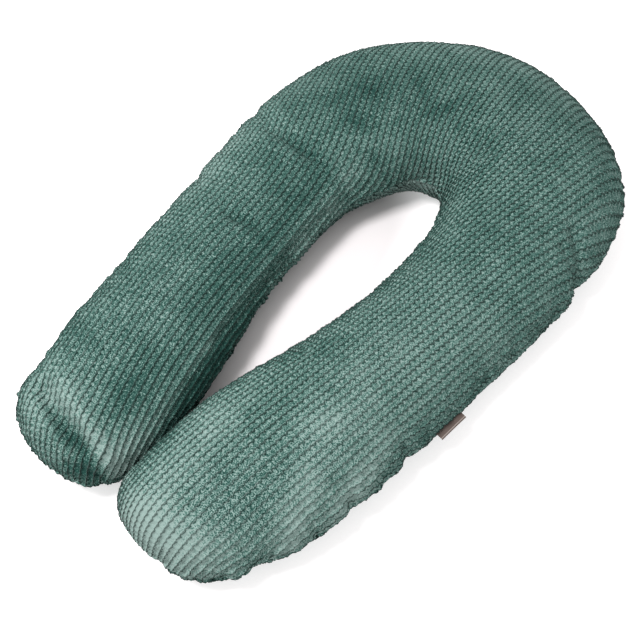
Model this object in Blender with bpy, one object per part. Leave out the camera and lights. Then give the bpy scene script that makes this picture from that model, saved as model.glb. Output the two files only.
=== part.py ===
"""U-shaped body pillow: one filled cushion sewn round its edge, and the folded tab caught in its seam.

Metres, +Z up, +Y from the two leg tips towards the crown of the U. The pillow lies on the ground at z = 0.
Two like panels are sewn together along one edge seam, at about mid height. A row of SECTIONS is a straight
line across the pillow, from its outer seam point to its inner one, and smooth curves run through the rows.
"""
from collections import namedtuple

import bpy
import numpy as np

# Across and along: how finely the panels are divided.
BODY_STEPS = 76         # between the two rounded ends
END_STEPS = 8           # over each rounded end
CROSS_STEPS = 18        # from the inner seam to the outer seam

Section = namedtuple("Section", "outer_x outer_y inner_x inner_y thickness")
SECTIONS = (
    # left leg, from its tip upwards
    Section(-0.264, -0.584, 0.018, -0.594, 0.160),
    Section(-0.297, -0.470, 0.014, -0.425, 0.172),
    Section(-0.326, -0.335, -0.024, -0.275, 0.172),
    Section(-0.355, -0.198, -0.062, -0.137, 0.168),
    Section(-0.382, -0.050, -0.080, -0.005, 0.170),
    Section(-0.408, 0.110, -0.086, 0.115, 0.183),
    # crown
    Section(-0.415, 0.299, -0.060, 0.207, 0.200),
    Section(-0.334, 0.512, -0.022, 0.268, 0.218),
    Section(-0.137, 0.667, 0.010, 0.284, 0.230),
    Section(0.130, 0.687, 0.039, 0.279, 0.232),
    Section(0.353, 0.535, 0.063, 0.257, 0.222),
    Section(0.406, 0.310, 0.087, 0.214, 0.200),
    # right leg, down to its tip
    Section(0.407, 0.126, 0.096, 0.118, 0.178),
    Section(0.399, -0.030, 0.096, -0.014, 0.172),
    Section(0.392, -0.175, 0.082, -0.141, 0.180),
    Section(0.382, -0.315, 0.056, -0.262, 0.188),
    Section(0.362, -0.455, 0.029, -0.392, 0.184),
    Section(0.314, -0.556, 0.025, -0.594, 0.165),
)
LEFT_END_LENGTH = 0.098     # from the first row to the left tip
RIGHT_END_LENGTH = 0.094    # from the last row to the right tip
END_SQUARENESS = 2.25       # 2 is an ellipse, more is squarer

# Section across the pillow, as shares of its half width and thickness.
SEAM_RISE = 0.43        # height of the edge seam
CROWN_BREADTH = 2.3     # how broad the top stays before it falls away
CROWN_FALL = 0.60       # how steeply it meets the seam: 0.5 is round, 1 is a sharp lens
UNDERSIDE_FILL = 1.30   # how far the underside would reach below the ground it is pressed flat on
FOLD_TURN = 3.0         # how late, on the way out to the seam, a fold turns from pressing down to pressing in

# Soft folds: troughs have a positive depth, ridges a negative one. Both ends are plan positions.
Fold = namedtuple("Fold", "x0 y0 x1 y1 half_width depth")
FOLDS = (
    # the left leg's end: a deep trough down to the seam, and the ridge above it
    Fold(-0.190, -0.603, -0.050, -0.631, 0.020, 0.026),
    Fold(-0.160, -0.568, -0.020, -0.601, 0.021, -0.010),
    # dents in the left leg's outer edge, and the soft troughs that run in from them
    Fold(-0.440, 0.175, -0.340, 0.140, 0.020, 0.010),
    Fold(-0.300, 0.125, -0.200, 0.140, 0.022, 0.006),
    Fold(-0.390, -0.045, -0.300, -0.040, 0.018, 0.007),
    Fold(-0.215, -0.095, -0.150, -0.070, 0.020, 0.005),
    # the crease in the crown's right side and the swelling below it
    Fold(0.335, 0.345, 0.420, 0.290, 0.015, 0.016),
    Fold(0.370, 0.270, 0.410, 0.240, 0.024, -0.005),
    # dents in the right leg's outer edge
    Fold(0.400, -0.220, 0.360, -0.210, 0.015, 0.005),
    Fold(0.392, -0.360, 0.350, -0.350, 0.015, 0.006),
    # fullness gathered at the inner bend
    Fold(0.060, 0.300, 0.095, 0.370, 0.014, 0.007),
    Fold(0.030, 0.300, 0.020, 0.380, 0.014, 0.006),
    Fold(0.085, 0.265, 0.160, 0.290, 0.014, 0.006),
)

# Label: a folded tab on the right leg's outer seam.
LABEL_Y_FROM = -0.078
LABEL_LENGTH = 0.068
LABEL_REACH = 0.0150        # out from the seam
LABEL_THICKNESS = 0.0012
LABEL_GAP = 0.0003
LABEL_DROOP = 0.0015        # of its free edge
LABEL_STEPS = 8

PILLOW_COLOUR = (0.085, 0.225, 0.180, 1.0)
LABEL_COLOUR = (0.110, 0.080, 0.065, 1.0)


def remove_scene_objects():
    for old in list(bpy.data.objects):
        bpy.data.objects.remove(old, do_unlink=True)


def cloth_material(name, colour, roughness):
    material = bpy.data.materials.new(name)
    material.use_nodes = True
    shader = material.node_tree.nodes["Principled BSDF"]
    shader.inputs["Base Color"].default_value = colour
    shader.inputs["Roughness"].default_value = roughness
    shader.inputs["Metallic"].default_value = 0.0
    return material


def mesh_object(name, points, triangles, material):
    mesh = bpy.data.meshes.new(name)
    mesh.from_pydata([tuple(point) for point in points], [], triangles)
    mesh.materials.append(material)
    mesh.validate()
    mesh.shade_smooth()
    placed = bpy.data.objects.new(name, mesh)
    bpy.context.collection.objects.link(placed)
    return placed


def smooth_curve(knots, values, at):
    """Natural cubic spline through rows of values at the given knots, read at new places."""
    gaps = np.diff(knots)
    count = len(knots)
    system = np.zeros((count, count))
    bend = np.zeros(values.shape)
    system[0, 0] = 1.0
    system[-1, -1] = 1.0
    for k in range(1, count - 1):
        system[k, k - 1:k + 2] = (gaps[k - 1], 2.0 * (gaps[k - 1] + gaps[k]), gaps[k])
        rise_after = (values[k + 1] - values[k]) / gaps[k]
        rise_before = (values[k] - values[k - 1]) / gaps[k - 1]
        bend[k] = 6.0 * (rise_after - rise_before)
    curvature = np.linalg.solve(system, bend)
    span = np.clip(np.searchsorted(knots, at, side="right") - 1, 0, count - 2)
    width = gaps[span][:, None]
    left = (knots[span + 1] - at)[:, None]
    right = (at - knots[span])[:, None]
    return ((curvature[span] * left ** 3 + curvature[span + 1] * right ** 3) / (6.0 * width)
            + (values[span] / width - curvature[span] * width / 6.0) * left
            + (values[span + 1] / width - curvature[span + 1] * width / 6.0) * right)


def unit(vectors):
    return vectors / np.linalg.norm(vectors, axis=-1, keepdims=True)


def station_rows():
    """Outer point, inner point and thickness at every station between the two rounded ends."""
    rows = np.array(SECTIONS)
    middles = (rows[:, 0:2] + rows[:, 2:4]) / 2.0
    steps = np.linalg.norm(np.diff(middles, axis=0), axis=1)
    knots = np.concatenate(([0.0], np.cumsum(steps)))
    at = np.linspace(0.0, knots[-1], BODY_STEPS + 1)
    return smooth_curve(knots, rows, at)


def end_disc(along, across):
    """Where the square grid of a rounded end lies on its half disc, as x towards the tip and y across."""
    x = along * np.sqrt(1.0 - across ** 2 / 2.0)
    y = across * np.sqrt(1.0 - along ** 2 / 2.0)
    radius = np.sqrt(x ** 2 + y ** 2)
    safe = np.maximum(radius, 1e-9)
    flat = (np.abs(x / safe) ** END_SQUARENESS + np.abs(y / safe) ** END_SQUARENESS)
    stretch = flat ** (-1.0 / END_SQUARENESS)
    return x * stretch, y * stretch, radius


def panel_plan():
    """Plan position, share of the way to the seam, outward direction and thickness of every grid point."""
    across = np.sin(np.linspace(-np.pi / 2.0, np.pi / 2.0, CROSS_STEPS + 1))
    rows = station_rows()
    plan, share, outward, thickness = [], [], [], []

    def add_end(row, length, along_steps, tipward):
        outer, inner = row[0:2], row[2:4]
        middle = (outer + inner) / 2.0
        half = (outer - inner) / 2.0
        reach = tipward * length
        for along in along_steps:
            x, y, radius = end_disc(along, across)
            plan.append(middle + x[:, None] * reach + y[:, None] * half)
            away = x[:, None] * unit(reach) + y[:, None] * unit(half)
            outward.append(away / np.maximum(np.linalg.norm(away, axis=1, keepdims=True), 1e-9))
            share.append(radius)
            thickness.append(np.full(len(across), row[4]))

    def tip_direction(row, side):
        run = unit(row[0:2] - row[2:4])
        return side * np.array((-run[1], run[0]))

    end_steps = np.linspace(0.0, 1.0, END_STEPS + 1)
    add_end(rows[0], LEFT_END_LENGTH, end_steps[:0:-1], tip_direction(rows[0], 1.0))
    for row in rows:
        middle = (row[0:2] + row[2:4]) / 2.0
        half = (row[0:2] - row[2:4]) / 2.0
        plan.append(middle + across[:, None] * half)
        outward.append(np.sign(across)[:, None] * unit(half))
        share.append(np.abs(across))
        thickness.append(np.full(len(across), row[4]))
    add_end(rows[-1], RIGHT_END_LENGTH, end_steps[1:], tip_direction(rows[-1], -1.0))
    return np.array(plan), np.minimum(np.array(share), 1.0), np.array(outward), np.array(thickness)


def fold_depth(plan):
    """How far the folds press the cover in at each plan position."""
    depth = np.zeros(plan.shape[:-1])
    for fold in FOLDS:
        start = np.array((fold.x0, fold.y0))
        run = np.array((fold.x1, fold.y1)) - start
        along = np.clip(((plan - start) @ run) / (run @ run), 0.0, 1.0)
        away = np.linalg.norm(plan - start - along[..., None] * run, axis=-1)
        depth += fold.depth * np.exp(-(away / fold.half_width) ** 2)
    return depth


def pillow_panels():
    """Grids of points of the top and the bottom panel, which share their edge."""
    plan, share, outward, thickness = panel_plan()
    fullness = np.clip(1.0 - share ** CROWN_BREADTH, 0.0, 1.0) ** CROWN_FALL
    seam_height = SEAM_RISE * thickness
    depth = fold_depth(plan)
    sideways = share ** FOLD_TURN
    inward = -outward * (depth * sideways)[..., None]
    over = seam_height + (thickness - seam_height) * fullness - depth * (1.0 - sideways)
    top = np.concatenate((plan + inward, over[..., None]), axis=2)
    under = np.maximum(seam_height * (1.0 - UNDERSIDE_FILL * fullness), 0.0)
    bottom = np.concatenate((plan + inward, under[..., None]), axis=2)
    return top, bottom


def pillow_mesh(top, bottom):
    """One closed body: the two grids joined along their shared edge."""
    rows, columns = top.shape[0:2]
    points = list(top.reshape(-1, 3))
    top_index = np.arange(rows * columns).reshape(rows, columns)
    bottom_index = top_index.copy()
    for i in range(1, rows - 1):
        for j in range(1, columns - 1):
            bottom_index[i, j] = len(points)
            points.append(bottom[i, j])
    triangles = []
    for i in range(rows - 1):
        for j in range(columns - 1):
            corners = ((i, j), (i + 1, j), (i + 1, j + 1), (i, j + 1))
            if (i < rows // 2) != (j < columns // 2):
                corners = corners[1:] + corners[:1]
            for picked in ((0, 1, 2), (0, 2, 3)):
                above = [int(top_index[corners[k]]) for k in picked]
                below = [int(bottom_index[corners[k]]) for k in picked]
                triangles.append(tuple(above))
                triangles.append(tuple(reversed(below)))
    return points, triangles


def seam_place(seam, y):
    """The point of the right leg's outer seam at the height y of the plan."""
    for before, after in zip(seam[:-1], seam[1:]):
        if after[1] <= y <= before[1]:
            share = (before[1] - y) / (before[1] - after[1])
            return before + (after - before) * share
    raise ValueError("the seam does not pass this place")


def label_mesh(top):
    """The tab: a thin strip along the outer seam, drooping a little at its free edge."""
    rows = top.shape[0]
    seam = top[rows // 2:END_STEPS + BODY_STEPS, -1]
    bases = [seam_place(seam, LABEL_Y_FROM - LABEL_LENGTH * k / LABEL_STEPS) for k in range(LABEL_STEPS + 1)]
    run = bases[-1][0:2] - bases[0][0:2]
    out = np.array((-run[1], run[0], 0.0)) / np.linalg.norm(run)
    half = np.array((0.0, 0.0, LABEL_THICKNESS / 2.0))
    droop = np.array((0.0, 0.0, -LABEL_DROOP))
    points = []
    for base in bases:
        near = base + out * LABEL_GAP
        far = near + out * LABEL_REACH + droop
        points += [near - half, far - half, far + half, near + half]
    quads = [(3, 2, 1, 0)]
    for k in range(LABEL_STEPS):
        first = 4 * k
        for side in range(4):
            after = (side + 1) % 4
            quads.append((first + side, first + after, first + 4 + after, first + 4 + side))
    last = 4 * LABEL_STEPS
    quads.append((last, last + 1, last + 2, last + 3))
    return points, quads


def centre_on_ground(objects):
    """Puts the whole object's bounding box with its bottom centre at the origin."""
    points = np.array([vertex.co[:] for item in objects for vertex in item.data.vertices])
    low, high = points.min(axis=0), points.max(axis=0)
    shift = (-(low[0] + high[0]) / 2.0, -(low[1] + high[1]) / 2.0, -low[2])
    for item in objects:
        item.location = shift


def build():
    remove_scene_objects()
    plush = cloth_material("ribbed plush", PILLOW_COLOUR, 0.95)
    tape = cloth_material("woven tape", LABEL_COLOUR, 0.85)
    top, bottom = pillow_panels()
    pillow = mesh_object("pillow", *pillow_mesh(top, bottom), plush)
    label = mesh_object("label", *label_mesh(top), tape)
    centre_on_ground((pillow, label))


build()
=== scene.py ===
"""Looks of the U-shaped body pillow: its ribbed plush cover, the edge seam and the folded tab caught in it.

Metres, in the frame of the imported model: +Y from the two leg tips to the crown of the U, +Z up from the
ground. The cover is two panels cut flat in one U shape. A point of a panel has a place on the pillow and a
place on the flat cut, and the ribs of the plush run straight along the flat cut's Y axis.
"""
from collections import namedtuple

import bpy
import numpy as np
from mathutils import Matrix, Vector


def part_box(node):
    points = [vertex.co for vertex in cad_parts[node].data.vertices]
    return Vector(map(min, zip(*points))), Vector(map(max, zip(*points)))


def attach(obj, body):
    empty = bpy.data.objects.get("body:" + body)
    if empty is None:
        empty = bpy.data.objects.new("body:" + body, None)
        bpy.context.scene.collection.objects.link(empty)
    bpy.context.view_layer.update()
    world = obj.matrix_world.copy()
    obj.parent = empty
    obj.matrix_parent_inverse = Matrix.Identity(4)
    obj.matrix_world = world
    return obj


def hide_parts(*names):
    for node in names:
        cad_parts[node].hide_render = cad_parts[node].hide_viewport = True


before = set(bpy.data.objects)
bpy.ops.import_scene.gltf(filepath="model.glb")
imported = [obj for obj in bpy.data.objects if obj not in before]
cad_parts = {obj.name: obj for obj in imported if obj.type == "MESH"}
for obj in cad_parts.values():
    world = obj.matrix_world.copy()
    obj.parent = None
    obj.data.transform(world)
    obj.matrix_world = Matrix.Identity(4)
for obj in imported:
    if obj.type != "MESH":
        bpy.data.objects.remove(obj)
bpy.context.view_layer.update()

# -------------------------------- the pillow's shape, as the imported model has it
Section = namedtuple("Section", "outer_x outer_y inner_x inner_y thickness")
SECTIONS = (
    # left leg, from its tip upwards
    Section(-0.264, -0.584, 0.018, -0.594, 0.160),
    Section(-0.297, -0.470, 0.014, -0.425, 0.172),
    Section(-0.326, -0.335, -0.024, -0.275, 0.172),
    Section(-0.355, -0.198, -0.062, -0.137, 0.168),
    Section(-0.382, -0.050, -0.080, -0.005, 0.170),
    Section(-0.408, 0.110, -0.086, 0.115, 0.183),
    # crown
    Section(-0.415, 0.299, -0.060, 0.207, 0.200),
    Section(-0.334, 0.512, -0.022, 0.268, 0.218),
    Section(-0.137, 0.667, 0.010, 0.284, 0.230),
    Section(0.130, 0.687, 0.039, 0.279, 0.232),
    Section(0.353, 0.535, 0.063, 0.257, 0.222),
    Section(0.406, 0.310, 0.087, 0.214, 0.200),
    # right leg, down to its tip
    Section(0.407, 0.126, 0.096, 0.118, 0.178),
    Section(0.399, -0.030, 0.096, -0.014, 0.172),
    Section(0.392, -0.175, 0.082, -0.141, 0.180),
    Section(0.382, -0.315, 0.056, -0.262, 0.188),
    Section(0.362, -0.455, 0.029, -0.392, 0.184),
    Section(0.314, -0.556, 0.025, -0.594, 0.165),
)
LEFT_END_LENGTH = 0.098     # from the first row to the left tip
RIGHT_END_LENGTH = 0.094    # from the last row to the right tip
END_SQUARENESS = 2.25       # 2 is an ellipse, more is squarer
SEAM_RISE = 0.43            # height of the edge seam, as a share of the thickness
CROWN_BREADTH = 2.3         # how broad the top stays before it falls away
CROWN_FALL = 0.60           # how steeply it meets the seam
UNDERSIDE_FILL = 1.30       # how far the underside would reach below the ground it is pressed flat on

# Soft folds: troughs have a positive depth, ridges a negative one. Both ends are plan positions.
Fold = namedtuple("Fold", "x0 y0 x1 y1 half_width depth")
FOLDS = (
    # the left leg's end: a deep trough down to the seam, and the ridge above it
    Fold(-0.190, -0.603, -0.050, -0.631, 0.020, 0.026),
    Fold(-0.160, -0.568, -0.020, -0.601, 0.021, -0.010),
    # dents in the left leg's outer edge, and the soft troughs that run in from them
    Fold(-0.440, 0.175, -0.340, 0.140, 0.020, 0.010),
    Fold(-0.300, 0.125, -0.200, 0.140, 0.022, 0.006),
    Fold(-0.390, -0.045, -0.300, -0.040, 0.018, 0.007),
    Fold(-0.215, -0.095, -0.150, -0.070, 0.020, 0.005),
    # the crease in the crown's right side and the swelling below it
    Fold(0.335, 0.345, 0.420, 0.290, 0.015, 0.016),
    Fold(0.370, 0.270, 0.410, 0.240, 0.024, -0.005),
    # dents in the right leg's outer edge
    Fold(0.400, -0.220, 0.360, -0.210, 0.015, 0.005),
    Fold(0.392, -0.360, 0.350, -0.350, 0.015, 0.006),
    # fullness gathered at the inner bend
    Fold(0.060, 0.300, 0.095, 0.370, 0.014, 0.007),
    Fold(0.030, 0.300, 0.020, 0.380, 0.014, 0.006),
    Fold(0.085, 0.265, 0.160, 0.290, 0.014, 0.006),
)

# -------------------------------- how finely the cover is divided
ROW_SPACING = 0.0019        # along the longer side of the U
END_ROWS = 80               # over each rounded end
COLUMNS = 212               # of the top panel, from the inner seam to the outer one
UNDER_STEP = 2              # the underside has every second row and half the columns of the top panel
FLAT_SHARE = 0.35           # how densely the part pressed flat is divided, against the sides
PATH_SAMPLES = 4000         # along the U, to measure its length
PROFILE_SAMPLES = 300       # along a section, to measure its cloth
TINY = 1e-9                 # keeps a division from failing at zero
LEAST_SPREAD = 1e-4         # below it the cloth counts as not stretched

# How the ribs of the plush lie at each of the sections: the angle by which they lean to the left of +Y, in
# degrees, how much wider apart the cloth's stretch sets them at the outer seam than in the middle, how far a
# groove swings from side to side, in rib pitches, and how far to the right they are swept at the outer seam.
Ribs = namedtuple("Ribs", "lean spread wave sweep")
RIBS = (
    # left leg, from its tip upwards
    Ribs(24.0, 0.00, 0.050, 0.000),
    Ribs(17.0, 0.00, 0.050, 0.000),
    Ribs(13.0, 0.00, 0.060, 0.000),
    Ribs(9.0, 0.00, 0.060, 0.000),
    Ribs(8.0, 0.00, 0.070, 0.000),
    Ribs(17.0, 0.00, 0.080, 0.006),
    # crown
    Ribs(26.0, -0.06, 0.080, 0.020),
    Ribs(21.0, -0.08, 0.080, 0.030),
    Ribs(14.0, 0.00, 0.080, 0.034),
    Ribs(6.0, 0.10, 0.090, 0.038),
    Ribs(-6.0, 0.14, 0.100, 0.036),
    Ribs(-11.0, 0.20, 0.100, 0.016),
    # right leg, down to its tip
    Ribs(-5.5, 0.26, 0.105, 0.000),
    Ribs(-4.0, 0.24, 0.105, 0.000),
    Ribs(-4.5, 0.22, 0.100, 0.000),
    Ribs(-4.5, 0.20, 0.080, 0.000),
    Ribs(-4.0, 0.14, 0.070, 0.000),
    Ribs(-1.0, 0.14, 0.060, 0.000),
)

FOLD_TURN = 3               # a fold presses down on top, sideways at the seam: the more, the later it turns
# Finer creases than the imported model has, in the same form.
CREASES = (
    # across the left leg, in from its two outer dents
    Fold(-0.320, 0.122, -0.195, 0.127, 0.011, 0.0060),
    Fold(-0.195, 0.127, -0.110, 0.142, 0.010, 0.0035),
    Fold(-0.300, 0.088, -0.180, 0.095, 0.016, -0.0030),
    Fold(-0.348, -0.068, -0.200, -0.096, 0.011, 0.0035),
    Fold(-0.200, -0.096, -0.150, -0.074, 0.010, 0.0060),
    # the left leg's end: the crest beside the deep trough, the pinched corner, a ridge and a small fold
    Fold(-0.140, -0.592, -0.008, -0.609, 0.010, -0.0045),
    Fold(-0.062, -0.668, 0.002, -0.639, 0.005, 0.0060),
    Fold(-0.130, -0.642, -0.020, -0.662, 0.009, -0.0040),
    Fold(-0.110, -0.600, -0.020, -0.626, 0.008, 0.0030),
    # the crown's right side, where the edge is pinched
    Fold(0.340, 0.300, 0.395, 0.288, 0.007, 0.0075),
    Fold(0.300, 0.290, 0.345, 0.298, 0.012, 0.0030),
    Fold(0.352, 0.262, 0.398, 0.255, 0.009, -0.0030),
    # the left leg's inner edge, where its top stands over the side
    Fold(-0.012, -0.487, -0.036, -0.344, 0.009, -0.0040),
    Fold(-0.052, -0.310, -0.074, -0.225, 0.009, -0.0040),
    Fold(-0.076, -0.215, -0.103, -0.055, 0.009, -0.0040),
    Fold(-0.106, -0.045, -0.113, 0.120, 0.008, -0.0035),
    # the line of the seam along the left leg's inner side
    Fold(-0.090, 0.150, -0.096, 0.060, 0.007, 0.0045),
    Fold(-0.096, 0.050, -0.086, -0.050, 0.007, 0.0050),
    Fold(-0.085, -0.060, -0.058, -0.215, 0.007, 0.0050),
    Fold(-0.056, -0.225, -0.036, -0.310, 0.007, 0.0045),
    # the inner bend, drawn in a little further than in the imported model
    Fold(-0.028, 0.268, 0.052, 0.274, 0.028, 0.0090),
    # soft dents across the crown
    Fold(-0.180, 0.330, -0.210, 0.480, 0.020, 0.0040),
    Fold(0.000, 0.400, 0.020, 0.560, 0.022, 0.0035),
    Fold(0.205, 0.560, 0.255, 0.610, 0.008, 0.0050),
    Fold(0.290, 0.520, 0.335, 0.560, 0.008, 0.0040),
    Fold(0.180, 0.360, 0.270, 0.450, 0.020, 0.0035),
    # the right leg's outer edge, and its end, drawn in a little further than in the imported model
    Fold(0.400, -0.226, 0.345, -0.222, 0.010, 0.0045),
    Fold(0.392, -0.366, 0.335, -0.372, 0.010, 0.0050),
    Fold(0.378, -0.445, 0.330, -0.440, 0.010, 0.0040),
    Fold(0.306, -0.630, 0.280, -0.605, 0.030, 0.0110),
    Fold(0.265, -0.650, 0.235, -0.600, 0.009, 0.0040),
    Fold(0.190, -0.675, 0.185, -0.630, 0.009, 0.0040),
    Fold(0.345, -0.580, 0.300, -0.550, 0.012, -0.0030),
)

# -------------------------------- the plush
RIB_PITCH = 0.0147
BEAD_LENGTH = 0.0127
RIB_HEIGHT = 0.0044
RIB_PROUD = 0.70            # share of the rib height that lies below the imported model's surface
RIB_FLATNESS = 4.0          # 2 is a round rib, more has a broad flat top
EDGE_FLATNESS = 2.2         # the same at the seam
EDGE_TUFTS = 3.0            # how much more uneven the beads stand at the outer seam
EDGE_RISE = 0.45            # how much higher the ribs stand at the seam, in rib heights
BEAD_MIDDLE = 0.25          # where along a bead the rib swings out furthest, in bead lengths
BEAD_DIP = 0.07             # of the rib between two beads, in rib heights
BEAD_DIP_WIDTH = 0.13       # in bead lengths
WAVE_SKEW = 0.40            # how much faster a groove swings back than out
EDGE_BEADS = 6.0            # how much deeper the dips between beads are at the seam
SWEEP_REACH = 0.075         # how far in from the seam the ribs are swept aside
INNER_SWEEP = 0.5           # how much less they are swept at the inner seam than at the outer one
UNDER_SWEEP = 0.045         # how far to the left they are swept below the inner bend,
BEND_PLACE = (-0.020, 0.255)    # which is here on the plan
BEND_REACH = 0.170          # how far round it they are
PATTERN_MAP = "pattern"     # the UV map that counts ribs and beads
WAVE = "wave"               # the attribute that says how far the grooves swing, in rib pitches
NAP_AND_PAINTED_LIGHT = "nap_and_painted_light"                 # the attribute for how the pile lies, with painted light and shade on top: above 0 it looks lighter, below 0 darker
OPENED = "opened"           # the attribute for how far the cloth's bend opens its grooves, most at the seam
OPENED_REACH = 0.055        # how far in from the seam it does
CRUSH = "crush"             # the attribute for how far the pile is crushed: its grooves close

# A soft oval on the plan, turned by an angle in degrees from +X, with its two half widths.
Spot = namedtuple("Spot", "x y turn long short strength")
# Where the pile is brushed over so that it looks lighter or darker, and where light and shade are painted in.
BRUSHED_AND_PAINTED_LIGHT = (
    # right leg: painted light all along, most at its tip and along its outer edge, with a few darker patches
    # of pile
    Spot(0.160, -0.650, 14.0, 0.160, 0.052, 1.65),
    Spot(0.310, -0.440, 95.0, 0.190, 0.080, 0.30),
    Spot(0.270, -0.080, 90.0, 0.280, 0.120, 0.28),
    Spot(0.108, -0.500, 100.0, 0.120, 0.055, 0.65),
    Spot(0.262, -0.305, 60.0, 0.050, 0.028, 0.40),
    Spot(0.265, -0.470, 80.0, 0.080, 0.050, -0.22),
    Spot(0.345, -0.490, 116.0, 0.120, 0.030, 0.95),
    Spot(0.380, -0.410, 100.0, 0.170, 0.024, 0.90),
    Spot(0.155, -0.190, 95.0, 0.090, 0.040, -0.33),
    Spot(0.235, 0.180, 90.0, 0.090, 0.060, -0.30),
    # left leg: painted light on its outer side, at its tip and along its inner edge; painted shade towards
    # the slot and a painted shadow in the trough at its end, with a painted highlight on the ridge beside it
    Spot(-0.365, 0.000, 95.0, 0.190, 0.045, 0.60),
    Spot(-0.170, -0.608, 30.0, 0.080, 0.055, 0.95),
    Spot(0.005, -0.568, 100.0, 0.045, 0.028, 1.00),
    Spot(-0.035, -0.603, -9.0, 0.080, 0.022, 0.95),
    Spot(-0.080, -0.629, -6.0, 0.085, 0.014, -1.35),
    Spot(-0.028, -0.655, 28.0, 0.036, 0.009, -1.60),
    Spot(-0.060, -0.500, 100.0, 0.060, 0.040, -0.75),
    Spot(-0.200, -0.490, 70.0, 0.050, 0.060, -0.30),
    Spot(-0.215, -0.300, 98.0, 0.200, 0.070, -0.25),
    Spot(-0.250, 0.080, 60.0, 0.080, 0.060, -0.25),
    Spot(-0.085, -0.330, 103.0, 0.120, 0.040, -0.10),
    Spot(-0.105, -0.150, 98.0, 0.180, 0.050, -0.72),
    Spot(-0.008, -0.350, 104.0, 0.190, 0.015, -1.30),
    Spot(-0.090, 0.020, 96.0, 0.180, 0.026, 0.60),
    Spot(-0.034, -0.340, 104.0, 0.180, 0.008, 0.45),
    Spot(-0.150, 0.050, 80.0, 0.110, 0.060, -0.30),
    # crown: darker over its left and middle, partly darker pile and partly painted shade
    Spot(-0.210, 0.310, 40.0, 0.140, 0.095, -0.55),
    Spot(-0.060, 0.440, 10.0, 0.120, 0.070, -0.25),
    Spot(0.060, 0.380, 80.0, 0.070, 0.060, -0.20),
    Spot(0.010, 0.465, 0.0, 0.080, 0.050, 0.30),
    Spot(0.090, 0.545, 0.0, 0.080, 0.040, -0.30),
    Spot(-0.160, 0.560, 20.0, 0.150, 0.050, 0.20),
    Spot(0.250, 0.530, -45.0, 0.110, 0.050, -0.30),
    Spot(0.280, 0.270, 90.0, 0.100, 0.060, -0.12),
    # small dark patches
    Spot(-0.176, 0.251, 20.0, 0.035, 0.018, -0.55),
    Spot(-0.125, 0.405, -30.0, 0.034, 0.018, -0.60),
    Spot(-0.051, 0.383, 60.0, 0.037, 0.015, -0.60),
    Spot(-0.100, 0.225, 40.0, 0.030, 0.014, -0.50),
    Spot(-0.253, 0.265, 50.0, 0.034, 0.015, -0.45),
    Spot(-0.195, 0.330, -20.0, 0.038, 0.014, -0.45),
    Spot(-0.010, 0.465, 30.0, 0.030, 0.014, -0.40),
    Spot(0.105, 0.330, 70.0, 0.034, 0.013, -0.40),
    Spot(-0.215, 0.124, 5.0, 0.090, 0.013, -0.45),
    Spot(-0.190, -0.090, 10.0, 0.055, 0.014, -0.40),
)

# Painted light and shade on the underside, along its inner edge: a painted shadow on the left leg's inner
# wall towards its tip, and painted light further up and under the inner bend.
PAINTED_LIGHT_AND_SHADE_BELOW = (
    Spot(-0.030, -0.420, 100.0, 0.160, 0.050, -1.30),
    Spot(-0.080, -0.020, 95.0, 0.160, 0.045, 0.20),
    Spot(-0.020, 0.270, 20.0, 0.130, 0.060, 0.80),
)

# Where the pile is crushed.
CRUSHED = (
    Spot(0.238, -0.510, 60.0, 0.130, 0.085, 0.95),
    Spot(0.282, -0.300, 85.0, 0.090, 0.050, 0.60),
    Spot(0.215, -0.130, 90.0, 0.110, 0.060, 0.45),
    Spot(-0.170, -0.430, 100.0, 0.190, 0.085, 0.55),
    Spot(-0.190, -0.130, 98.0, 0.140, 0.070, 0.30),
    Spot(-0.088, 0.000, 97.0, 0.190, 0.026, 0.60),
    Spot(-0.130, 0.330, 60.0, 0.060, 0.040, 0.40),
    Spot(0.120, 0.420, 20.0, 0.090, 0.050, 0.25),
)

# Unevenness: the size of its grains on the cloth and how far it moves the surface.
Rough = namedtuple("Rough", "grain reach seed")
TUFTS = Rough(0.0036, 0.0005, 11)       # of the pile
UNEVEN_BEADS = Rough(0.0120, 0.0009, 12)
FILLING = Rough(0.1050, 0.0035, 13)     # lumps of the filling under the cover
FINE_FILLING = Rough(0.0450, 0.0010, 14)
RIB_WANDER = Rough(0.0700, 0.0022, 15)  # sideways, on the flat cut
WANDER_STRETCH = (1.0, 0.4)             # its grains are longer along the ribs
PUCKERS = Rough(0.0190, 0.0022, 16)     # of the cloth gathered at the seam
PUCKER_LENGTH = 0.022                   # how far in from the seam they reach
INNER_PUCKERS = 1.8                     # how much stronger they are along the inner seam
GATHER_PITCH = 0.0130                   # from one small fold of the gathered cloth to the next
GATHER_LENGTH = 0.026                   # how far in from the seam they reach
GATHER_SLANT = 0.5                      # how far they lean along the seam, for each step in from it
SEAM_TUCK = 0.0030                      # how deep the stitching draws the seam in
SEAM_TUCK_WIDTH = 0.0035
SEAM_CALM = 0.030                       # how far from the seam the filling's lumps begin
NOISE_TABLE = 512                       # random numbers along each side of their table
# Where along the inner seam the cloth is gathered: round a place on the plan, as far as reach, and how deep.
Gather = namedtuple("Gather", "x y reach depth")
GATHERS = (
    # the bend, and the left leg's inner side
    Gather(0.010, 0.275, 0.130, 0.0014),
    Gather(-0.078, -0.040, 0.200, 0.0026),
)
UNDER_SEED = 100                        # the underside's unevenness is its own

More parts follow.
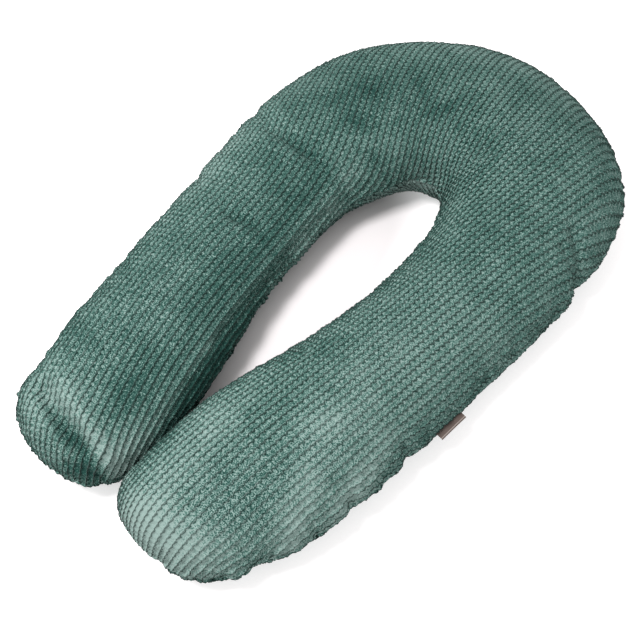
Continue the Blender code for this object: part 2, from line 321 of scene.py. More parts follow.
# -------------------------------- the folded label in the right leg's outer seam
LABEL_Y_FROM = -0.078
LABEL_LENGTH = 0.068
LABEL_REACH = 0.0155        # out from the seam to its fold
LABEL_ROOT = 0.0050         # caught in the seam
LABEL_LAYER = 0.0005        # thickness of the tape
LABEL_OPENING = 0.0003      # half the gap between its two layers
LABEL_DROOP = 0.0015        # of its fold
LABEL_BOW = 0.0014          # of its middle, upwards
LABEL_LINE = 0.0032         # from its fold to the lighter woven line
LABEL_STEPS = 60            # along the seam
LABEL_FOLD_STEPS = 10       # out to the fold, and round it
TAPE_MAP = "tape"           # the UV map in millimetres along the tape and across it
MILLIMETRES = 1000.0        # in a metre
THREAD = 0.7                # from one thread of the tape to the next, in millimetres
LINE_EDGE = (0.45, 0.95)    # from the line's middle, where its soft edge begins and ends, in millimetres
LINE_SHARE = 0.8            # how much of the line's colour shows

# -------------------------------- colours and marks of the plush
# painted shade in the grooves between the ribs
PAINTED_GROOVE_SHADE = (0.0029, 0.0135, 0.0106, 1.0)
PLUSH_DARK = (0.0082, 0.0386, 0.0318, 1.0)
PLUSH_MIDDLE = (0.0439, 0.1033, 0.0878, 1.0)
PLUSH_LIGHT = (0.0984, 0.1737, 0.1534, 1.0)
PLUSH_BRIGHT = (0.198, 0.272, 0.251, 1.0)
PLUSH_STOPS = ((0.12, PLUSH_DARK), (0.48, PLUSH_MIDDLE), (0.76, PLUSH_LIGHT), (1.0, PLUSH_BRIGHT))
TAPE_BROWN = (0.114, 0.086, 0.075, 1.0)
TAPE_SHADED = (0.068, 0.050, 0.043, 1.0)
TAPE_LINE = (0.318, 0.280, 0.256, 1.0)
# Noises: grains for each metre, detail, roughness.
FIBRE_NOISE = (400.0, 1.0, 0.6)
TUFT_NOISE = (230.0, 2.0, 0.6)
FRAY_NOISE = (260.0, 2.0, 0.5)
PATCH_NOISE = (13.0, 4.0, 0.6)
FRAY = 0.14                 # how far a groove's edges are frayed, in rib pitches
GROOVE_EDGE = 0.135         # half the width of a groove, in rib pitches
CORNER_EDGES = (0.05, 0.35)     # from the dip between two beads, in bead lengths, where a groove widens
CORNER_WIDENING = 0.05      # and by how much, in rib pitches
DIP_EDGE = 0.14             # half the width of the painted shade line in the dip between two beads, in bead lengths
PAINTED_DIP_SHADE = 0.15            # how dark that painted shade is
BULGE_EDGES = (0.20, 0.45)  # from the dip, where a bead begins to bulge and where it does so fully: the painted highlight lies on the bulge
PAINTED_HIGHLIGHT_PLACE = 0.32          # where across a rib the painted highlight on its beads lies, in rib pitches from its left groove
PAINTED_HIGHLIGHT_EDGES = (0.05, 0.30)  # how far from there the painted highlight is full, and where it ends
# How much each of these lightens or darkens the pile, on the scale of PLUSH_STOPS.
MIDDLE_SHADE, PATCH_SHADE, TUFT_SHADE, NAP_AND_PAINTED_LIGHT_SHADE, PAINTED_HIGHLIGHT_SHADE = 0.50, 0.50, 0.18, 0.45, 0.24
# How much its fibres do: plainly, for each unit of crush and of nap with its painted light and shade, and at
# the least.
FIBRE_SHADE, CRUSHED_FIBRES, FIBRES_PER_NAP_AND_LIGHT, LEAST_FIBRES = 2.5, 1.5, -0.75, 1.0
# How strongly the grooves take their painted shade: plainly, and for each unit of opened, crush and patches.
GROOVE_SHARE, OPENED_SHARE, CRUSHED_SHARE, PATCH_SHARE = 0.75, 0.28, -0.60, -0.8
# How high the tufts and the fibres stand beside a rib of height 1, in the bump.
TUFT_RELIEF, FIBRE_RELIEF = 0.16, 0.30


def smooth_curve(knots, values, at):
    """Natural cubic spline through rows of values at the given knots, read at new places."""
    gaps = np.diff(knots)
    count = len(knots)
    system = np.zeros((count, count))
    bend = np.zeros(values.shape)
    system[0, 0] = 1.0
    system[-1, -1] = 1.0
    for k in range(1, count - 1):
        system[k, k - 1:k + 2] = (gaps[k - 1], 2.0 * (gaps[k - 1] + gaps[k]), gaps[k])
        rise_after = (values[k + 1] - values[k]) / gaps[k]
        rise_before = (values[k] - values[k - 1]) / gaps[k - 1]
        bend[k] = 6.0 * (rise_after - rise_before)
    curvature = np.linalg.solve(system, bend)
    span = np.clip(np.searchsorted(knots, at, side="right") - 1, 0, count - 2)
    width = gaps[span][:, None]
    left = (knots[span + 1] - at)[:, None]
    right = (at - knots[span])[:, None]
    return ((curvature[span] * left ** 3 + curvature[span + 1] * right ** 3) / (6.0 * width)
            + (values[span] / width - curvature[span] * width / 6.0) * left
            + (values[span + 1] / width - curvature[span + 1] * width / 6.0) * right)


def unit(vectors):
    return vectors / np.maximum(np.linalg.norm(vectors, axis=-1, keepdims=True), TINY)


def turned_right(vectors):
    """Plan vectors turned by a quarter turn clockwise."""
    return np.stack((vectors[..., 1], -vectors[..., 0]), axis=-1)


# -------------------------------- stations along the U
Row = namedtuple("Row", "outer inner thickness lean spread wave sweep flat_middle flat_across")


def row_of(numbers):
    """The numbers of one row, by name."""
    return Row(numbers[0:2], numbers[2:4], *numbers[4:9], numbers[9:11], numbers[11:13])


def stations():
    """Every row of the cover, evenly spaced along the longer side of the U."""
    rows = np.concatenate((np.array(SECTIONS), np.array(RIBS)), axis=1)
    middles = (rows[:, 0:2] + rows[:, 2:4]) / 2.0
    knots = np.concatenate(([0.0], np.cumsum(np.linalg.norm(np.diff(middles, axis=0), axis=1))))
    at = np.linspace(0.0, knots[-1], PATH_SAMPLES)
    path = smooth_curve(knots, rows, at)
    steps = np.maximum(np.linalg.norm(np.diff(path[:, 0:2], axis=0), axis=1),
                       np.linalg.norm(np.diff(path[:, 2:4], axis=0), axis=1))
    run = np.concatenate(([0.0], np.cumsum(steps)))
    count = UNDER_STEP * int(round(run[-1] / ROW_SPACING / UNDER_STEP))
    path = np.concatenate((path, flat_path(path)), axis=1)
    wanted = np.linspace(0.0, run[-1], count + 1)
    columns = [np.interp(wanted, run, column) for column in path.T]
    return [row_of(numbers) for numbers in np.stack(columns, axis=1)]


def flat_path(path):
    """Middle line of the flat cut and the direction across it, turned so that its ribs run along +Y."""
    middle = (path[:, 0:2] + path[:, 2:4]) / 2.0
    across = unit(path[:, 0:2] - path[:, 2:4])
    lean = path[:, len(Section._fields)]
    flat_angle = np.arctan2(across[:, 1], across[:, 0]) - np.radians(lean)
    flat_across = np.stack((np.cos(flat_angle), np.sin(flat_angle)), axis=1)
    step = np.diff(middle, axis=0)
    forward = np.sum(step * turned_right(across)[:-1], axis=1)
    sideways = np.sum(step * across[:-1], axis=1)
    moves = forward[:, None] * turned_right(flat_across)[:-1] + sideways[:, None] * flat_across[:-1]
    flat_middle = middle[0] + np.concatenate((np.zeros((1, 2)), np.cumsum(moves, axis=0)))
    return np.concatenate((flat_middle, flat_across), axis=1)


# -------------------------------- section across the pillow
def fullness(share):
    return np.clip(1.0 - share ** CROWN_BREADTH, 0.0, 1.0) ** CROWN_FALL


def top_height(share, thickness):
    seam = SEAM_RISE * thickness
    return seam + (thickness - seam) * fullness(share)


def under_height(share, thickness):
    seam = SEAM_RISE * thickness
    return np.maximum(seam * (1.0 - UNDERSIDE_FILL * fullness(share)), 0.0)


def cloth_reach(length, thickness, height):
    """Shares of the way to the seam, and the length of cloth from the middle to each."""
    share = np.sin(np.linspace(0.0, np.pi / 2.0, PROFILE_SAMPLES))
    level = height(share, thickness)
    steps = np.hypot(np.diff(share) * length, np.diff(level))
    return share, np.concatenate(([0.0], np.cumsum(steps))), level


def spread_shares(length, thickness, height, fractions):
    """Shares of the way to the seam, evenly spaced on the cloth, or sparser where it lies flat."""
    share, reach, level = cloth_reach(length, thickness, height)
    lying = (level[1:] <= 0.0)
    weight = np.concatenate(([0.0], np.cumsum(np.diff(reach) * np.where(lying, FLAT_SHARE, 1.0))))
    return np.interp(fractions * weight[-1], weight, share)


def slackened(across, half, spread):
    """Distance across the flat cut of cloth that is stretched more and more towards the outer seam."""
    if abs(spread) < LEAST_SPREAD:
        return across
    return np.log(1.0 + spread * across / half) * half / spread


def end_disc(along, across):
    """Where the square grid of a rounded end lies on its half disc, as x towards the tip and y across."""
    x = along * np.sqrt(1.0 - across ** 2 / 2.0)
    y = across * np.sqrt(1.0 - along ** 2 / 2.0)
    radius = np.sqrt(x ** 2 + y ** 2)
    safe = np.maximum(radius, TINY)
    squared = np.abs(x / safe) ** END_SQUARENESS + np.abs(y / safe) ** END_SQUARENESS
    stretch = squared ** (-1.0 / END_SQUARENESS)
    return x * stretch, y * stretch, radius


Panel = namedtuple("Panel", "plan share outward thickness pattern edge wave sweep")


def panel(rows, height, columns, end_rows):
    """Every grid point of a panel: pattern is its place on the flat cut, edge its distance to the seam."""
    sides = np.linspace(-1.0, 1.0, columns + 1)
    made = {name: [] for name in Panel._fields}

    def add(row, **values):
        for name in ("thickness", "wave", "sweep"):
            made[name].append(np.full(columns + 1, getattr(row, name)))
        for name, value in values.items():
            made[name].append(value)

    def add_end(row, length, tipward, fractions):
        thickness = row.thickness
        middle = (row.outer + row.inner) / 2.0
        half = (row.outer - row.inner) / 2.0
        width = np.linalg.norm(half)
        run = turned_right(unit(half)) * tipward
        flat_run = turned_right(row.flat_across) * tipward
        inside = np.sign(sides) * spread_shares(width, thickness, height, np.abs(sides))
        at_seam = np.sign(sides) * spread_shares(width, thickness, top_height, np.abs(sides))
        side_share, side_reach, _ = cloth_reach(width, thickness, height)
        tip_share, tip_reach, _ = cloth_reach(length, thickness, height)
        for along in spread_shares(length, thickness, height, fractions):
            x, y, radius = end_disc(along, inside + (at_seam - inside) * along ** 2)
            safe = np.maximum(radius, TINY)
            away = x[:, None] * run + y[:, None] * unit(half)
            to_tip = np.interp(radius, tip_share, tip_reach)
            to_side = np.interp(radius, side_share, side_reach)
            aside = slackened(y / safe * to_side, side_reach[-1], row.spread)
            flat = (x / safe * to_tip)[:, None] * flat_run + aside[:, None] * row.flat_across
            tipness = (x / safe) ** 2
            add(row, plan=middle + x[:, None] * run * length + y[:, None] * half,
                share=radius, outward=unit(away), pattern=row.flat_middle + flat,
                edge=tipness * (tip_reach[-1] - to_tip) + (1.0 - tipness) * (side_reach[-1] - to_side))

    end_fractions = np.linspace(0.0, 1.0, end_rows + 1)
    add_end(rows[0], LEFT_END_LENGTH, -1.0, end_fractions[:0:-1])
    for row in rows:
        middle = (row.outer + row.inner) / 2.0
        half = (row.outer - row.inner) / 2.0
        width = np.linalg.norm(half)
        share = spread_shares(width, row.thickness, height, np.abs(sides))
        shares, reach, _ = cloth_reach(width, row.thickness, height)
        cloth = np.interp(share, shares, reach)
        aside = slackened(np.sign(sides) * cloth, reach[-1], row.spread)
        add(row, plan=middle + (np.sign(sides) * share)[:, None] * half,
            share=share, outward=np.sign(sides)[:, None] * unit(half),
            pattern=row.flat_middle + aside[:, None] * row.flat_across, edge=reach[-1] - cloth)
    add_end(rows[-1], RIGHT_END_LENGTH, 1.0, end_fractions[1:])
    whole = {name: np.array(values) for name, values in made.items()}
    whole["share"] = np.minimum(whole["share"], 1.0)
    return Panel(**whole)


# -------------------------------- folds, ribs and lumps
def fold_depth(plan, folds):
    """How far the folds press the cover in at each plan position."""
    depth = np.zeros(plan.shape[:-1])
    for fold in folds:
        start = np.array((fold.x0, fold.y0))
        run = np.array((fold.x1, fold.y1)) - start
        along = np.clip(((plan - start) @ run) / (run @ run), 0.0, 1.0)
        away = np.linalg.norm(plan - start - along[..., None] * run, axis=-1)
        depth += fold.depth * np.exp(-(away / fold.half_width) ** 2)
    return depth


def unevenness(place, rough, seed=0):
    """Smooth random moves over a plane, up to the reach of rough either way."""
    table = np.random.default_rng(rough.seed + seed).uniform(-1.0, 1.0, (NOISE_TABLE, NOISE_TABLE))
    spot = place / rough.grain
    cell = np.floor(spot).astype(int)
    part = spot - cell
    ease = part * part * (3.0 - 2.0 * part)
    x0, y0 = cell[..., 0] % NOISE_TABLE, cell[..., 1] % NOISE_TABLE
    x1, y1 = (x0 + 1) % NOISE_TABLE, (y0 + 1) % NOISE_TABLE
    low = table[x0, y0] + (table[x1, y0] - table[x0, y0]) * ease[..., 0]
    high = table[x0, y1] + (table[x1, y1] - table[x0, y1]) * ease[..., 0]
    return rough.reach * (low + (high - low) * ease[..., 1])


def rib_relief(pattern, wave, opened):
    """Height of the plush at each place of the flat cut: 0 in a groove, about 1 on a rib."""
    ribs = pattern[..., 0] / RIB_PITCH
    beads = pattern[..., 1] / BEAD_LENGTH
    turns = 2.0 * np.pi * beads
    place = ribs + wave * (np.sin(turns) + WAVE_SKEW * np.sin(2.0 * turns))
    from_middle = np.abs(2.0 * (place - np.floor(place)) - 1.0)
    from_dip = (beads - BEAD_MIDDLE) % 1.0 - 0.5
    dip = BEAD_DIP * (1.0 + EDGE_BEADS * opened) * np.exp(-(from_dip / BEAD_DIP_WIDTH) ** 2)
    flatness = RIB_FLATNESS + (EDGE_FLATNESS - RIB_FLATNESS) * opened
    return (1.0 - from_middle ** flatness) * (1.0 - dip) * (1.0 + EDGE_RISE * opened)


def inner_side(made):
    """1 on the half of a panel next to the inner seam, 0 on the other."""
    columns = made.share.shape[1]
    return np.arange(columns) < columns // 2


def opened_at(edge):
    """How far the grooves stand open at each distance from the seam."""
    return np.exp(-(edge / OPENED_REACH) ** 2)


def lift(made, pattern, seed):
    """How far the cover stands off the smooth panel: ribs, pile, lumps, and the seam drawn in."""
    inside = 1.0 - np.exp(-(made.edge / SEAM_CALM) ** 2)
    opened = opened_at(made.edge)
    cloth = RIB_HEIGHT * (rib_relief(pattern, made.wave, opened) - RIB_PROUD)
    tufted = EDGE_TUFTS * opened * np.where(inner_side(made), 0.0, 1.0)
    beads = unevenness(pattern, UNEVEN_BEADS, seed) * (1.0 + tufted)
    cloth += unevenness(pattern, TUFTS, seed) + beads
    cloth += (unevenness(pattern, FILLING, seed) + unevenness(pattern, FINE_FILLING, seed)) * inside
    at_seam = np.exp(-(made.edge / SEAM_TUCK_WIDTH) ** 2)
    puckers = unevenness(made.plan, PUCKERS) * np.exp(-made.edge / PUCKER_LENGTH)
    puckers *= np.where(inner_side(made), INNER_PUCKERS, 1.0)
    return cloth * (1.0 - at_seam) - SEAM_TUCK * at_seam + puckers + gathers(made)


def gathers(made):
    """The small folds of the gathered cloth along the inner seam, nearly square to it."""
    seam = made.plan[:, 0]
    run = np.concatenate(([0.0], np.cumsum(np.linalg.norm(np.diff(seam, axis=0), axis=1))))
    folds = np.cos(2.0 * np.pi * (run[:, None] - GATHER_SLANT * made.edge) / GATHER_PITCH)
    depth = np.zeros(len(seam))
    for gather in GATHERS:
        away = np.linalg.norm(seam - (gather.x, gather.y), axis=1)
        depth += gather.depth * np.exp(-(away / gather.reach) ** 2)
    return folds * depth[:, None] * np.exp(-made.edge / GATHER_LENGTH) * inner_side(made)


def spots_at(plan, spots):
    """The sum of the soft ovals at each plan position."""
    total = np.zeros(plan.shape[:-1])
    for spot in spots:
        turn = np.radians(spot.turn)
        away = plan - (spot.x, spot.y)
        along = away @ (np.cos(turn), np.sin(turn)) / spot.long
        aside = away @ (-np.sin(turn), np.cos(turn)) / spot.short
        total += spot.strength * np.exp(-along ** 2 - aside ** 2)
    return total


def shading_numbers(made, part, nap_and_light_spots):
    """The numbers that the plush material reads at each point of a part of a panel."""
    return {WAVE: made.wave[part], OPENED: opened_at(made.edge[part]),
            NAP_AND_PAINTED_LIGHT: spots_at(made.plan[part], nap_and_light_spots), CRUSH: spots_at(made.plan[part], CRUSHED)}


def ruffled(made, up, seed):
    """Flat-cut places with the ribs wandering a little, and swept aside at the seams or below the bend."""
    wander = unevenness(made.pattern * WANDER_STRETCH, RIB_WANDER, seed)
    near = np.exp(-(made.edge / SWEEP_REACH) ** 2)
    if up > 0:
        swept = near * made.sweep * np.where(inner_side(made), INNER_SWEEP, 1.0)
    else:
        from_bend = np.linalg.norm(made.plan[:, :1] - BEND_PLACE, axis=2)
        swept = -UNDER_SWEEP * near * np.exp(-(from_bend / BEND_REACH) ** 2) * inner_side(made)
    return made.pattern + np.stack((wander - swept, np.zeros(wander.shape)), axis=-1)


def base_surface(made, height, up):
    """Points of a smooth panel, with the folds and the finer creases pressed in."""
    depth = fold_depth(made.plan, FOLDS + CREASES)
    sideways = made.share ** FOLD_TURN
    level = height(made.share, made.thickness) - (depth * (1.0 - sideways) if up > 0 else 0.0)
    plan = made.plan - made.outward * (depth * sideways)[..., None]
    return np.concatenate((plan, level[..., None]), axis=2)


def grid_normals(points):
    """Unit normals of a grid of points, upwards on the top panel."""
    along = np.gradient(points, axis=0)
    across = np.gradient(points, axis=1)
    return unit(np.cross(across, along))


def panel_normals(made, smooth, sign):
    """Outward normals of a smooth panel, level with the ground at the seam, where both panels meet."""
    normals = grid_normals(smooth) * sign
    level = np.concatenate((made.outward, np.zeros(made.share.shape + (1,))), axis=2)
    nearness = np.exp(-(made.edge / SEAM_TUCK_WIDTH) ** 2)[..., None]
    return unit(normals + (level - normals) * nearness)


def even_seam(points):
    """Puts every second seam point halfway between its neighbours: the coarser underside has none there."""
    for edge in (points[:, 0], points[:, -1], points[0], points[-1]):
        edge[1:-1:2] = (edge[:-2:2] + edge[2::2]) / 2.0


def both_panels():
    rows = stations()
    top = panel(rows, top_height, COLUMNS, END_ROWS)
    under = panel(rows[::UNDER_STEP], under_height, COLUMNS // UNDER_STEP, END_ROWS // UNDER_STEP)
    return top, under


def shift_to_frame(points):
    """The move that puts a smooth cover, modelled about the U's own middle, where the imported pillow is."""
    low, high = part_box("pillow")
    middle = (points.reshape(-1, 3).min(axis=0) + points.reshape(-1, 3).max(axis=0)) / 2.0
    return np.array(((low[0] + high[0]) / 2.0 - middle[0], (low[1] + high[1]) / 2.0 - middle[1], 0.0))


def grid_mesh(name, points, pattern, numbers, facing_up, material, normals):
    """A mesh object from a grid of points, with flat-cut places as its UV map and numbers as attributes."""
    index = np.arange(points.shape[0] * points.shape[1]).reshape(points.shape[0:2])
    corners = np.stack((index[:-1, :-1], index[:-1, 1:], index[1:, 1:], index[1:, :-1]), axis=-1)
    corners = corners.reshape(-1, 4)
    if not facing_up:
        corners = corners[:, ::-1]
    mesh = bpy.data.meshes.new(name)
    mesh.vertices.add(index.size)
    mesh.vertices.foreach_set("co", points.reshape(-1).astype(np.float32))
    mesh.loops.add(corners.size)
    mesh.loops.foreach_set("vertex_index", corners.reshape(-1).astype(np.int32))
    mesh.polygons.add(len(corners))
    mesh.polygons.foreach_set("loop_start", np.arange(0, corners.size, 4, dtype=np.int32))
    mesh.update(calc_edges=True)
    mesh.polygons.foreach_set("use_smooth", np.ones(len(corners), bool))
    layer = mesh.uv_layers.new(name=PATTERN_MAP)
    counted = pattern.reshape(-1, 2) / (RIB_PITCH, BEAD_LENGTH)
    layer.uv.foreach_set("vector", counted[corners.reshape(-1)].reshape(-1).astype(np.float32))
    for label, values in numbers.items():
        attribute = mesh.attributes.new(label, "FLOAT", "POINT")
        attribute.data.foreach_set("value", values.reshape(-1).astype(np.float32))
    mesh.materials.append(material)
    mesh.normals_split_custom_set_from_vertices(normals.reshape(-1, 3).tolist())
    made = bpy.data.objects.new(name, mesh)
    bpy.context.collection.objects.link(made)
    return made


# -------------------------------- materials
class Nodes:
    """Short calls for building a material's node tree."""

    def __init__(self, name):
        self.material = bpy.data.materials.new(name)
        self.material.use_nodes = True
        self.tree = self.material.node_tree
        self.shader = self.tree.nodes["Principled BSDF"]

    def node(self, kind, **settings):
        made = self.tree.nodes.new(kind)
        for key, value in settings.items():
            setattr(made, key, value)
        return made

    def link(self, source, target):
        self.tree.links.new(source, target)

    def fill(self, socket, value):
        if isinstance(value, bpy.types.NodeSocket):
            self.link(value, socket)
        else:
            socket.default_value = value

    def math(self, operation, *values):
        made = self.node("ShaderNodeMath", operation=operation)
        for socket, value in zip(made.inputs, values):
            self.fill(socket, value)
        return made.outputs[0]

    def steps(self, value, from_low, from_high, to_low=0.0, to_high=1.0):
        made = self.node("ShaderNodeMapRange", interpolation_type="SMOOTHSTEP")
        for name, given in (("Value", value), ("From Min", from_low), ("From Max", from_high),
                            ("To Min", to_low), ("To Max", to_high)):
            self.fill(made.inputs[name], given)
        return made.outputs["Result"]

    def noise(self, vector, scale, detail, roughness):
        made = self.node("ShaderNodeTexNoise")
        self.link(vector, made.inputs["Vector"])
        made.inputs["Scale"].default_value = scale
        made.inputs["Detail"].default_value = detail
        made.inputs["Roughness"].default_value = roughness
        return made.outputs["Fac"]

    def mix(self, share, first, second, blend="MIX"):
        made = self.node("ShaderNodeMix", data_type="RGBA", blend_type=blend)
        self.fill(made.inputs[0], share)
        self.fill(made.inputs[6], first)
        self.fill(made.inputs[7], second)
        return made.outputs[2]

    def ramp(self, value, stops):
        made = self.node("ShaderNodeValToRGB")
        elements = made.color_ramp.elements
        while len(elements) < len(stops):
            elements.new(0.5)
        for element, (place, colour) in zip(elements, stops):
            element.position = place
            element.color = colour
        self.link(value, made.inputs[0])
        return made.outputs[0]

    def attribute(self, name):
        return self.node("ShaderNodeAttribute", attribute_name=name).outputs["Fac"]

    def map_place(self, name):
        """The two numbers of a UV map."""
        apart = self.node("ShaderNodeSeparateXYZ")
        self.link(self.node("ShaderNodeUVMap", uv_map=name).outputs["UV"], apart.inputs[0])
        return apart.outputs["X"], apart.outputs["Y"]

    def scaled(self, value, factor, rest=0.0):
        """The value times a factor, and the rest."""
        return self.math("MULTIPLY_ADD", value, factor, rest)

    def centred(self, noise):
        """A noise about 0 instead of 0.5."""
        return self.math("SUBTRACT", noise, 0.5)

    def bump(self, height, strength, distance):
        made = self.node("ShaderNodeBump")
        made.inputs["Strength"].default_value = strength
        made.inputs["Distance"].default_value = distance
        self.link(height, made.inputs["Height"])
        self.link(made.outputs["Normal"], self.shader.inputs["Normal"])

    def set_shader(self, values):
        """Sets or links the shader's own sockets."""
        for name, value in values.items():
            self.fill(self.shader.inputs[name], value)


def plush_material():
    n = Nodes("ribbed plush")
    ribs, beads = n.map_place(PATTERN_MAP)
    body = n.node("ShaderNodeTexCoord").outputs["Object"]
    turns = n.math("MULTIPLY", beads, 2.0 * np.pi)
    twice = n.math("SINE", n.math("MULTIPLY", turns, 2.0))
    swing = n.math("MULTIPLY", n.scaled(twice, WAVE_SKEW, n.math("SINE", turns)), n.attribute(WAVE))
    frayed = n.scaled(n.centred(n.noise(body, *FRAY_NOISE)), FRAY)
    wavy = n.math("ADD", n.math("ADD", ribs, swing), frayed)
    from_dip = n.math("PINGPONG", n.math("ADD", beads, 1.0 - BEAD_MIDDLE - 0.5), 0.5)
    # painted shade along the dip between two beads
    painted_dip_shade = n.steps(from_dip, 0.0, DIP_EDGE, 1.0, 0.0)
    corner = n.steps(from_dip, *CORNER_EDGES, 1.0, 0.0)
    from_groove = n.scaled(corner, -CORNER_WIDENING, n.math("PINGPONG", wavy, 0.5))
    groove = n.steps(from_groove, 0.0, GROOVE_EDGE, 1.0, 0.0)
    fibres = n.noise(body, *FIBRE_NOISE)
    tufts = n.noise(body, *TUFT_NOISE)
    patches = n.noise(body, *PATCH_NOISE)
    nap_and_painted_light = n.attribute(NAP_AND_PAINTED_LIGHT)
    crush = n.attribute(CRUSH)
    fibre_shade = n.scaled(nap_and_painted_light, FIBRES_PER_NAP_AND_LIGHT, n.scaled(crush, CRUSHED_FIBRES, FIBRE_SHADE))
    fibre_shade = n.math("MAXIMUM", fibre_shade, LEAST_FIBRES)
    # a painted highlight on each bead's bulge
    from_painted_highlight = n.math("ABSOLUTE", n.math("SUBTRACT", n.math("FRACT", wavy), PAINTED_HIGHLIGHT_PLACE))
    painted_highlight = n.math("MULTIPLY", n.steps(from_painted_highlight, *PAINTED_HIGHLIGHT_EDGES, 1.0, 0.0), n.steps(from_dip, *BULGE_EDGES))
    shade = n.scaled(n.centred(patches), PATCH_SHADE, MIDDLE_SHADE)
    shade = n.scaled(n.centred(tufts), TUFT_SHADE, shade)
    shade = n.scaled(n.centred(fibres), fibre_shade, shade)
    # lighter and darker pile where it is brushed, with painted light and shade
    shade = n.scaled(nap_and_painted_light, NAP_AND_PAINTED_LIGHT_SHADE, shade)
    shade = n.scaled(painted_highlight, PAINTED_HIGHLIGHT_SHADE, shade)
    colour = n.mix(n.math("MULTIPLY", painted_dip_shade, PAINTED_DIP_SHADE), n.ramp(shade, PLUSH_STOPS), PLUSH_DARK)
    # painted shade in the grooves
    share = n.scaled(n.attribute(OPENED), OPENED_SHARE, n.scaled(crush, CRUSHED_SHARE, GROOVE_SHARE))
    share = n.math("MINIMUM", n.scaled(n.centred(patches), PATCH_SHARE, share), 1.0)
    colour = n.mix(n.math("MULTIPLY", groove, share), colour, PAINTED_GROOVE_SHADE)
    relief = n.math("SUBTRACT", 1.0, groove)
    relief = n.scaled(fibres, FIBRE_RELIEF, n.scaled(tufts, TUFT_RELIEF, relief))
    n.bump(relief, strength=0.9, distance=0.0020)
    n.set_shader({"Base Color": colour, "Roughness": 0.95, "Specular IOR Level": 0.15, "Sheen Weight": 0.08,
                  "Sheen Roughness": 0.45, "Sheen Tint": (0.80, 0.94, 0.90, 1.0)})
    return n.material


def tape_material():
    n = Nodes("woven tape")
    along, out = n.map_place(TAPE_MAP)
    warp = n.math("SINE", n.math("MULTIPLY", along, 2.0 * np.pi / THREAD))
    weft = n.math("SINE", n.math("MULTIPLY", out, 2.0 * np.pi / THREAD))
    weave = n.scaled(n.math("MULTIPLY", warp, weft), 0.5, 0.5)
    from_line = n.math("ABSOLUTE", n.math("SUBTRACT", out, (LABEL_REACH - LABEL_LINE) * MILLIMETRES))
    line = n.steps(from_line, *LINE_EDGE, 1.0, 0.0)
    colour = n.mix(weave, TAPE_SHADED, TAPE_BROWN)
    colour = n.mix(n.math("MULTIPLY", line, LINE_SHARE), colour, TAPE_LINE)
    n.bump(weave, strength=0.6, distance=0.0002)
    n.set_shader({"Base Color": colour, "Roughness": 0.75, "Specular IOR Level": 0.25})
    return n.material


# -------------------------------- label and cover
def seam_place(seam, y):
    """The point of the right leg's outer seam at the height y of the plan."""
    k = int(np.argmax(seam[:, 1] < y))
    share = (seam[k - 1, 1] - y) / (seam[k - 1, 1] - seam[k, 1])
    return seam[k - 1] + (seam[k] - seam[k - 1]) * share


def label_profile():
    """The folded tape's outer and inner line, as distance out from the seam and height, round the fold."""
    turn = LABEL_LAYER + LABEL_OPENING
    centre = LABEL_REACH - turn
    straight = np.linspace(-LABEL_ROOT, centre, LABEL_FOLD_STEPS)[:-1]
    angles = np.linspace(np.pi / 2.0, -np.pi / 2.0, LABEL_FOLD_STEPS + 1)

    def line(radius):
        bend = [(centre + radius * np.cos(a), radius * np.sin(a)) for a in angles]
        return np.array([(v, radius) for v in straight] + bend + [(v, -radius) for v in straight[::-1]])

    return line(turn), line(LABEL_OPENING)


def make_label(smooth_top, shift):
    """The folded tape along the seam, a little bowed, with its two cut ends open."""
    seam = smooth_top[smooth_top.shape[0] // 2:-END_ROWS, -1]
    along = np.linspace(0.0, 1.0, LABEL_STEPS + 1)
    bases = np.array([seam_place(seam, LABEL_Y_FROM - LABEL_LENGTH * share) for share in along])
    run = bases[-1, 0:2] - bases[0, 0:2]
    outward = np.array((-run[1], run[0], 0.0)) / np.linalg.norm(run)
    outer, inner = label_profile()
    ring = np.concatenate((outer, inner[::-1]))
    bow = LABEL_BOW * (1.0 - (2.0 * along - 1.0) ** 2)
    reach = np.clip(ring[:, 0], 0.0, None) / LABEL_REACH
    points = bases[:, None] + ring[:, 0][None, :, None] * outward + shift
    points[..., 2] += ring[:, 1] + bow[:, None] * reach - LABEL_DROOP * reach ** 2
    count = len(ring)
    faces = []
    for k in range(LABEL_STEPS):
        for j in range(count):
            after = (j + 1) % count
            faces.append((k * count + j, k * count + after, (k + 1) * count + after, (k + 1) * count + j))
    for k, flip in ((0, True), (LABEL_STEPS, False)):
        for j in range(len(outer) - 1):
            face = [k * count + j, k * count + j + 1, (k + 1) * count - 2 - j, (k + 1) * count - 1 - j]
            faces.append(tuple(face[::-1] if flip else face))
    mesh = bpy.data.meshes.new("woven_label")
    mesh.from_pydata(points.reshape(-1, 3).tolist(), [], faces)
    mesh.update()
    layer = mesh.uv_layers.new(name=TAPE_MAP)
    for loop in mesh.loops:
        k, j = divmod(loop.vertex_index, count)
        layer.uv[loop.index].vector = (along[k] * LABEL_LENGTH * MILLIMETRES, ring[j, 0] * MILLIMETRES)
    mesh.materials.append(tape_material())
    label = bpy.data.objects.new("woven_label", mesh)
    bpy.context.collection.objects.link(label)
    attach(label, "root")
    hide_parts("label")


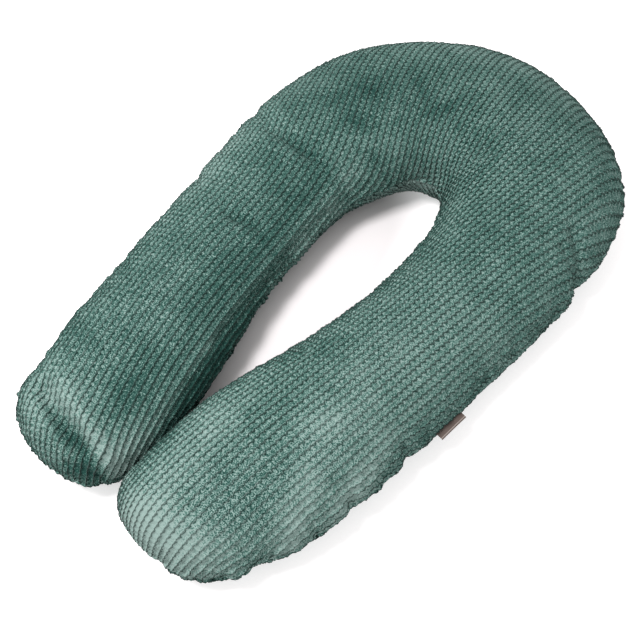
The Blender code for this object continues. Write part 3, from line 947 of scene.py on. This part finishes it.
def make_cover(material):
    top, under = both_panels()
    smooth_top = base_surface(top, top_height, 1.0)
    smooth_under = base_surface(under, under_height, -1.0)
    shift = shift_to_frame(smooth_top)
    panels = []
    for made, smooth, up, seed in ((top, smooth_top, 1.0, 0), (under, smooth_under, -1.0, UNDER_SEED)):
        pattern = ruffled(made, up, seed)
        outward = panel_normals(made, smooth, up)
        points = smooth + outward * lift(made, pattern, seed)[..., None]
        points[..., 2] = np.maximum(points[..., 2], 0.0)
        if up > 0:
            even_seam(points)
        points = points + shift
        panels.append((made, pattern, points, grid_normals(points) * up))
    objects = []
    made, pattern, points, normals = panels[0]
    last_row = points.shape[0] - 1
    names = ("cover_left_leg", "cover_crown_left", "cover_crown_right", "cover_right_leg")
    cuts = [round(k * last_row / len(names)) for k in range(len(names) + 1)]
    for name, first, last in zip(names, cuts[:-1], cuts[1:]):
        part = slice(first, last + 1)
        numbers = shading_numbers(made, part, BRUSHED_AND_PAINTED_LIGHT)
        objects.append(grid_mesh(name, points[part], pattern[part], numbers, True, material, normals[part]))
    made, pattern, points, normals = panels[1]
    numbers = shading_numbers(made, slice(None), PAINTED_LIGHT_AND_SHADE_BELOW)
    objects.append(grid_mesh("cover_underside", points, pattern, numbers, False, material, normals))
    make_label(smooth_top, shift)
    for piece in objects:
        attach(piece, "root")
        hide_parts("pillow")
    return shift


# -------------------------------- floor, lights and camera
WHITE = (1.0, 1.0, 1.0, 1.0)
FLOOR_REACH = 12.0
FLOOR_COLOUR = (0.685, 0.651, 0.656, 1.0)
# The floor shines by itself outside an oval over the left half of the U's inside, so that only the shadow in
# the oval is strong. The oval's middle is given in its half sizes, and so are the ends of its soft edge.
FLOOR_GLOW = 0.52
OVAL_HALF_SIZE = (0.17, 0.45, 1.0)
OVAL_MIDDLE = (-0.45, -0.30, 0.0)
OVAL_EDGE = (0.8, 1.2)


def make_floor():
    mesh = bpy.data.meshes.new("floor")
    corners = [(x * FLOOR_REACH, y * FLOOR_REACH, 0.0) for x, y in ((-1, -1), (1, -1), (1, 1), (-1, 1))]
    mesh.from_pydata(corners, [], [(0, 1, 2, 3)])
    floor = bpy.data.objects.new("floor", mesh)
    bpy.context.collection.objects.link(floor)
    n = Nodes("pale floor")
    stretched = n.node("ShaderNodeVectorMath", operation="DIVIDE")
    n.link(n.node("ShaderNodeTexCoord").outputs["Object"], stretched.inputs[0])
    stretched.inputs[1].default_value = OVAL_HALF_SIZE
    from_oval = n.node("ShaderNodeVectorMath", operation="DISTANCE")
    n.link(stretched.outputs["Vector"], from_oval.inputs[0])
    from_oval.inputs[1].default_value = OVAL_MIDDLE
    glow = n.steps(from_oval.outputs["Value"], *OVAL_EDGE, 0.0, FLOOR_GLOW)
    n.set_shader({"Base Color": FLOOR_COLOUR, "Roughness": 0.9, "Specular IOR Level": 0.0,
                  "Emission Color": WHITE, "Emission Strength": glow})
    mesh.materials.append(n.material)


CAMERA_PLACE = (0.6855, -0.7837, 1.6611)
CAMERA_FORWARD = (-0.341, 0.366, -0.866)
CAMERA_UP = (-0.591, 0.633, 0.5)
FOCAL_SHARE = 900.0 / 640.0     # focal length over the width of the picture
SENSOR = 36.0


def look_matrix(place, forward, up):
    back = -Vector(forward).normalized()
    side = Vector(up).cross(back).normalized()
    top = back.cross(side)
    return Matrix.Translation(place) @ Matrix((side, top, back)).transposed().to_4x4()


def make_camera(shift):
    data = bpy.data.cameras.new("camera")
    data.sensor_width = SENSOR
    data.lens = SENSOR * FOCAL_SHARE
    camera = bpy.data.objects.new("camera", data)
    bpy.context.collection.objects.link(camera)
    camera.matrix_world = look_matrix(Vector(CAMERA_PLACE) + Vector(shift), CAMERA_FORWARD, CAMERA_UP)
    bpy.context.scene.camera = camera


KEY_POWER = 93.0                # watts
KEY_SIZE = 0.9
KEY_PLACE = (-0.65, -1.0, 2.7)
KEY_AIM = (0.0, -0.1, 0.0)


def make_lights():
    """Even light from all round and one soft key light, shown without a tone curve."""
    world = bpy.data.worlds.new("studio")
    world.use_nodes = True
    background = world.node_tree.nodes["Background"]
    background.inputs["Color"].default_value = WHITE
    background.inputs["Strength"].default_value = 1.0
    bpy.context.scene.world = world
    data = bpy.data.lights.new("key", "AREA")
    data.energy = KEY_POWER
    data.size = KEY_SIZE
    key = bpy.data.objects.new("key", data)
    bpy.context.collection.objects.link(key)
    place = Vector(KEY_PLACE)
    key.matrix_world = look_matrix(place, Vector(KEY_AIM) - place, (0.0, 0.0, 1.0))
    view = bpy.context.scene.view_settings
    view.view_transform = "Standard"
    view.look = "None"


frame_shift = make_cover(plush_material())
make_floor()
make_camera(frame_shift)
make_lights()
